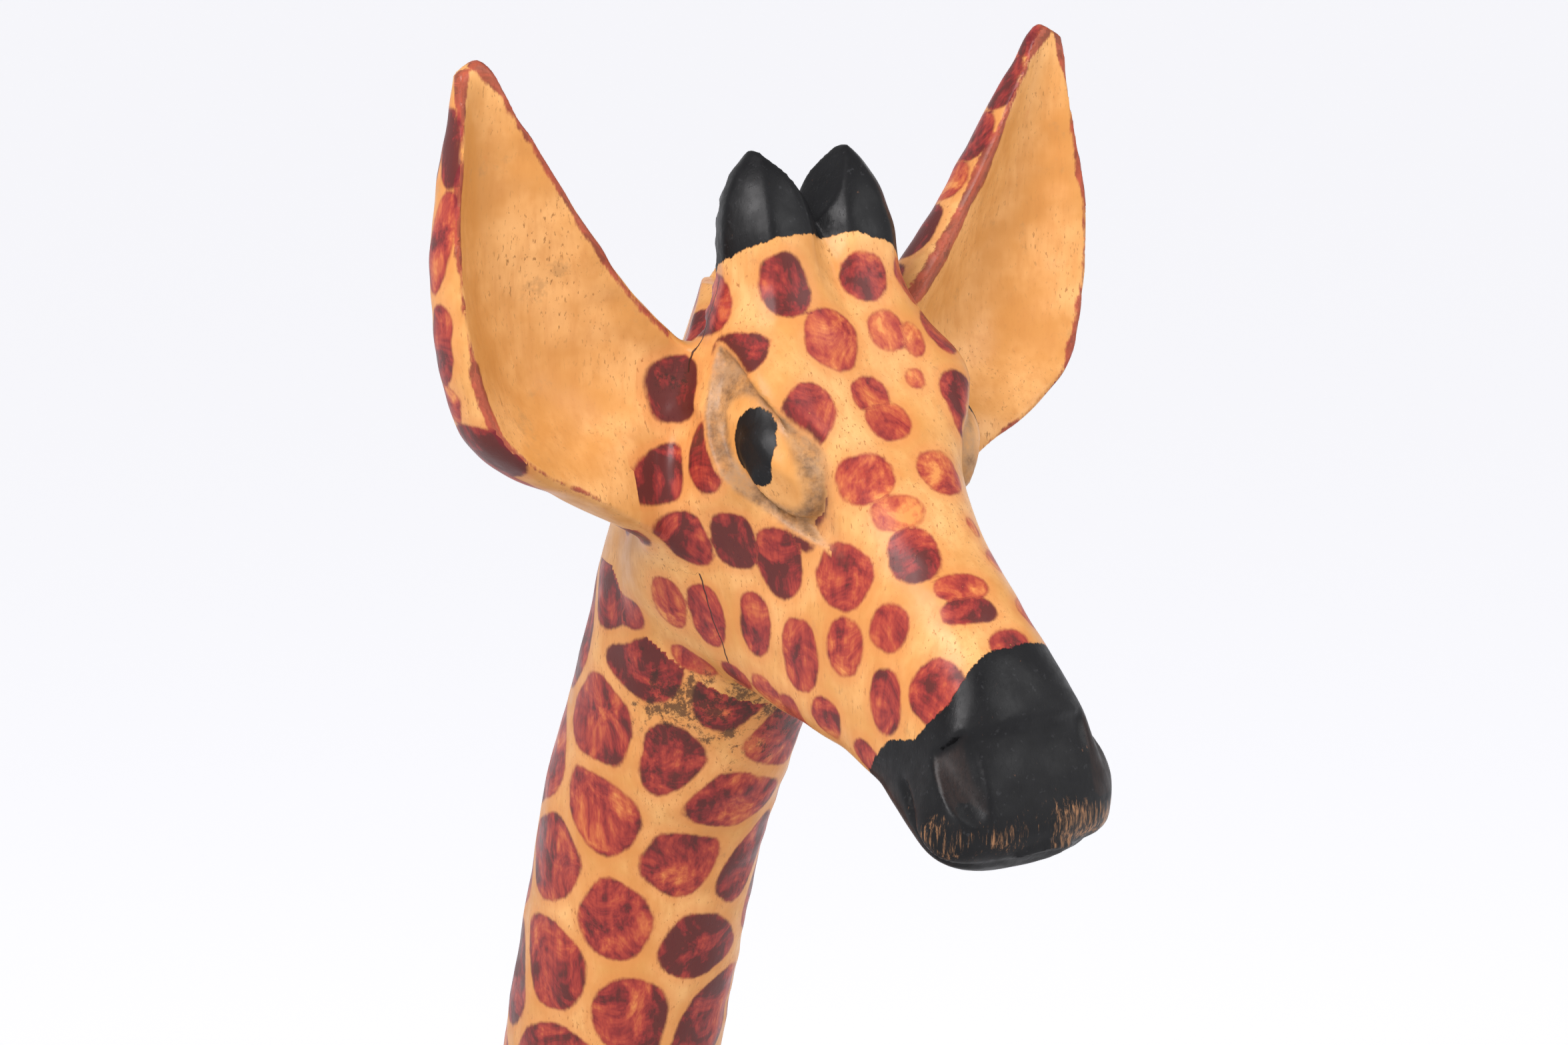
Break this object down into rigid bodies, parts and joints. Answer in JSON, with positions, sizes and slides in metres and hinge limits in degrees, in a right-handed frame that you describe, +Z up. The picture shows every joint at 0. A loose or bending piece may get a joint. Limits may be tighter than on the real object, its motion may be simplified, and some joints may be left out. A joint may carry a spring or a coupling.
{
  "type": "carved wooden giraffe statue",
  "caption": "Tall carved wooden giraffe with painted rust-red spots, black horns and muzzle and big upright ears, standing on its own four legs.",
  "frame": {"origin": "on the floor, under the middle of the bounding box", "axes": "+Z up, the giraffe looks along -Y, +X is its left side"},
  "size_m": [0.2038, 0.525, 1.2195],
  "materials": {
    "painted_wood": "waxed satin, ochre stain with rust-red spots",
    "black_paint": "matt black paint on wood",
    "bare_wood": "raw"
  },
  "bodies": {
    "root": {"head_and_neck": "painted_wood", "left_ear": "painted_wood", "right_ear": "painted_wood", "body": "painted_wood", "front_left_leg": "painted_wood", "front_right_leg": "painted_wood", "rear_left_leg": "painted_wood", "rear_right_leg": "painted_wood", "tail": "painted_wood", "left_ear_peg": "bare_wood", "right_ear_peg": "bare_wood", "neck_dowel": "bare_wood", "front_left_dowel": "bare_wood", "front_right_dowel": "bare_wood", "rear_left_dowel": "bare_wood", "rear_right_dowel": "bare_wood", "tail_peg": "bare_wood"}
  },
  "joints": []
}
